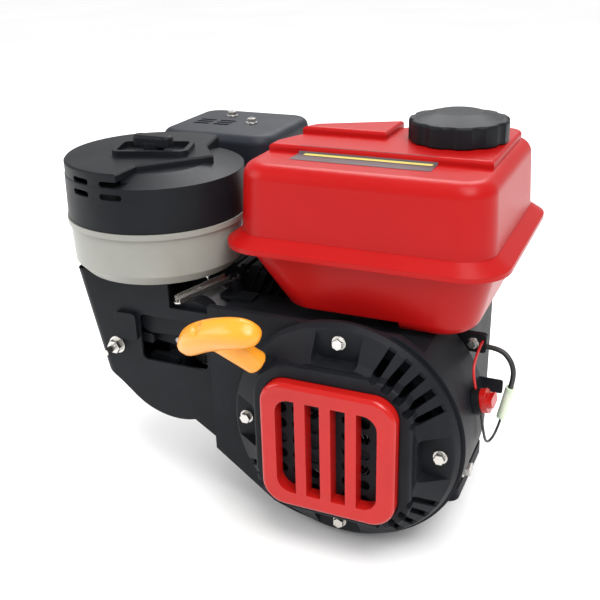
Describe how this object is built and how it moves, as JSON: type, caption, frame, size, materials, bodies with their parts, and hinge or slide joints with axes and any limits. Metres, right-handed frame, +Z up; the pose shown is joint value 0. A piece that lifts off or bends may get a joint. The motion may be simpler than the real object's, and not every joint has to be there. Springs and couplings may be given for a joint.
{
  "type": "small petrol engine",
  "caption": "Single-cylinder air-cooled petrol engine with a leaning cylinder, side shaft, pull starter, fuel tank on top, drum air cleaner and shielded muffler.",
  "frame": {"origin": "on the underside, straight below the crankshaft axis, midway between the two rows of base bolts", "axes": "+Z up, +Y along the crankshaft towards the driven shaft, the cylinder leans towards -X"},
  "size_m": [0.396, 0.3447, 0.341],
  "materials": {
    "casting": "as cast, satin",
    "steel": "machined",
    "zinc_steel": "bright zinc",
    "iron": "as cast",
    "gasket": "pressed fibre",
    "rubber": "matt",
    "black_paint": "fine matt texture",
    "shield_paint": "matt heat paint",
    "red_paint": "satin",
    "red_gloss": "gloss",
    "black_plastic": "fine texture",
    "drum_plastic": "translucent satin",
    "yellow_plastic": "moulded satin",
    "filter_foam": "open foam",
    "rope": "braided",
    "wire_red": "satin",
    "wire_black": "satin",
    "connector": "clear"
  },
  "bodies": {
    "engine": {"crankcase": "casting", "gaskets": "gasket", "side_cover": "casting", "fasteners": "zinc_steel", "crank_bearings": "steel", "oil_seals": "rubber", "tappets": "steel", "pushrods": "steel", "cylinder_head": "casting", "valves": "steel", "valve_springs": "steel", "rocker_arms": "steel", "rocker_cover": "black_paint", "spark_plug": "steel", "ignition_coil": "rubber", "blower_housing": "black_paint", "starter_housing": "black_paint", "starter_grille": "red_gloss", "starter_screen": "black_paint", "fuel_tank": "red_paint", "carburettor": "casting", "float_bowl": "zinc_steel", "intake_elbow": "black_plastic", "fuel_valve": "black_plastic", "carburettor_guard": "black_plastic", "cleaner_body": "drum_plastic", "cleaner_seal": "drum_plastic", "cleaner_cover": "black_plastic", "filter_element": "filter_foam", "muffler": "shield_paint", "heat_shield": "shield_paint", "stop_switch_body": "black_plastic", "red_wire": "wire_red", "black_wire": "wire_black", "wire_sleeve": "wire_black", "bullet_connector": "connector"},
    "crank": {"crankshaft": "steel", "flywheel": "iron", "cooling_fan": "black_plastic", "starter_cup": "zinc_steel", "flywheel_nut": "steel"},
    "cam": {"camshaft": "steel"},
    "piston_assembly": {"piston": "casting", "piston_rings": "steel", "piston_pin": "steel", "connecting_rod": "casting", "crankpin": "steel"},
    "reel": {"starter_reel": "black_plastic", "rope_winding": "rope", "recoil_spring": "steel", "starter_pawls": "steel"},
    "handle": {"starter_handle": "yellow_plastic", "starter_rope": "rope"},
    "cap": {"fuel_cap": "black_plastic"},
    "knob": {"cleaner_knob": "black_plastic"},
    "dipstick": {"oil_dipstick": "black_plastic"},
    "choke": {"choke_lever": "black_plastic"},
    "fuel_lever": {"fuel_valve_lever": "black_plastic"},
    "throttle": {"throttle_lever": "zinc_steel"},
    "switch_knob": {"stop_switch_knob": "red_gloss"}
  },
  "joints": [
    {"name": "crank_turn", "type": "hinge", "parent": "engine", "child": "crank", "pos_m": [0, 0, 0.106], "axis": [0, 1, 0], "continuous": true},
    {"name": "cam_turn", "type": "hinge", "parent": "engine", "child": "cam", "pos_m": [-0.02219, 0, 0.05842], "axis": [0, 1, 0], "continuous": true},
    {"name": "piston_stroke", "type": "slide", "parent": "engine", "child": "piston_assembly", "axis": [0.9063, 0, -0.4226], "range_m": [0, 0.054]},
    {"name": "reel_turn", "type": "hinge", "parent": "engine", "child": "reel", "pos_m": [0, 0, 0.106], "axis": [0, 1, 0], "range_deg": [0, 670]},
    {"name": "handle_pull", "type": "slide", "parent": "engine", "child": "handle", "axis": [-0.4601, -0.5561, 0.6921], "range_m": [0, 0.6]},
    {"name": "cap_turn", "type": "hinge", "parent": "engine", "child": "cap", "pos_m": [0.0495, 0.0063, 0.33], "axis": [0, 0, 1], "range_deg": [0, 90]},
    {"name": "knob_turn", "type": "hinge", "parent": "engine", "child": "knob", "pos_m": [-0.195, -0.073, 0.315], "axis": [0, 0, 1], "continuous": true},
    {"name": "dipstick_draw", "type": "slide", "parent": "engine", "child": "dipstick", "axis": [0, 1, 0], "range_m": [0, 0.05]},
    {"name": "choke_turn", "type": "hinge", "parent": "engine", "child": "choke", "pos_m": [-0.166, -0.1, 0.14599], "axis": [0, 1, 0], "range_deg": [-18, 0]},
    {"name": "fuel_lever_turn", "type": "hinge", "parent": "engine", "child": "fuel_lever", "pos_m": [-0.173, -0.1, 0.12498], "axis": [0, 1, 0], "range_deg": [-80, 0]},
    {"name": "throttle_turn", "type": "hinge", "parent": "engine", "child": "throttle", "pos_m": [-0.126, -0.07, 0.199], "axis": [-0.0898, -0.1394, 0.9862], "range_deg": [-3, 14]},
    {"name": "switch_turn", "type": "hinge", "parent": "engine", "child": "switch_knob", "pos_m": [0.10625, -0.09, 0.13447], "axis": [0.9659, 0, 0.2588], "range_deg": [0, 60]}
  ],
  "couplings": [
    {"joint": "cam_turn", "follows": "crank_turn", "ratio": -0.5},
    {"joint": "reel_turn", "follows": "handle_pull", "rad_per_m": 19.418}
  ]
}
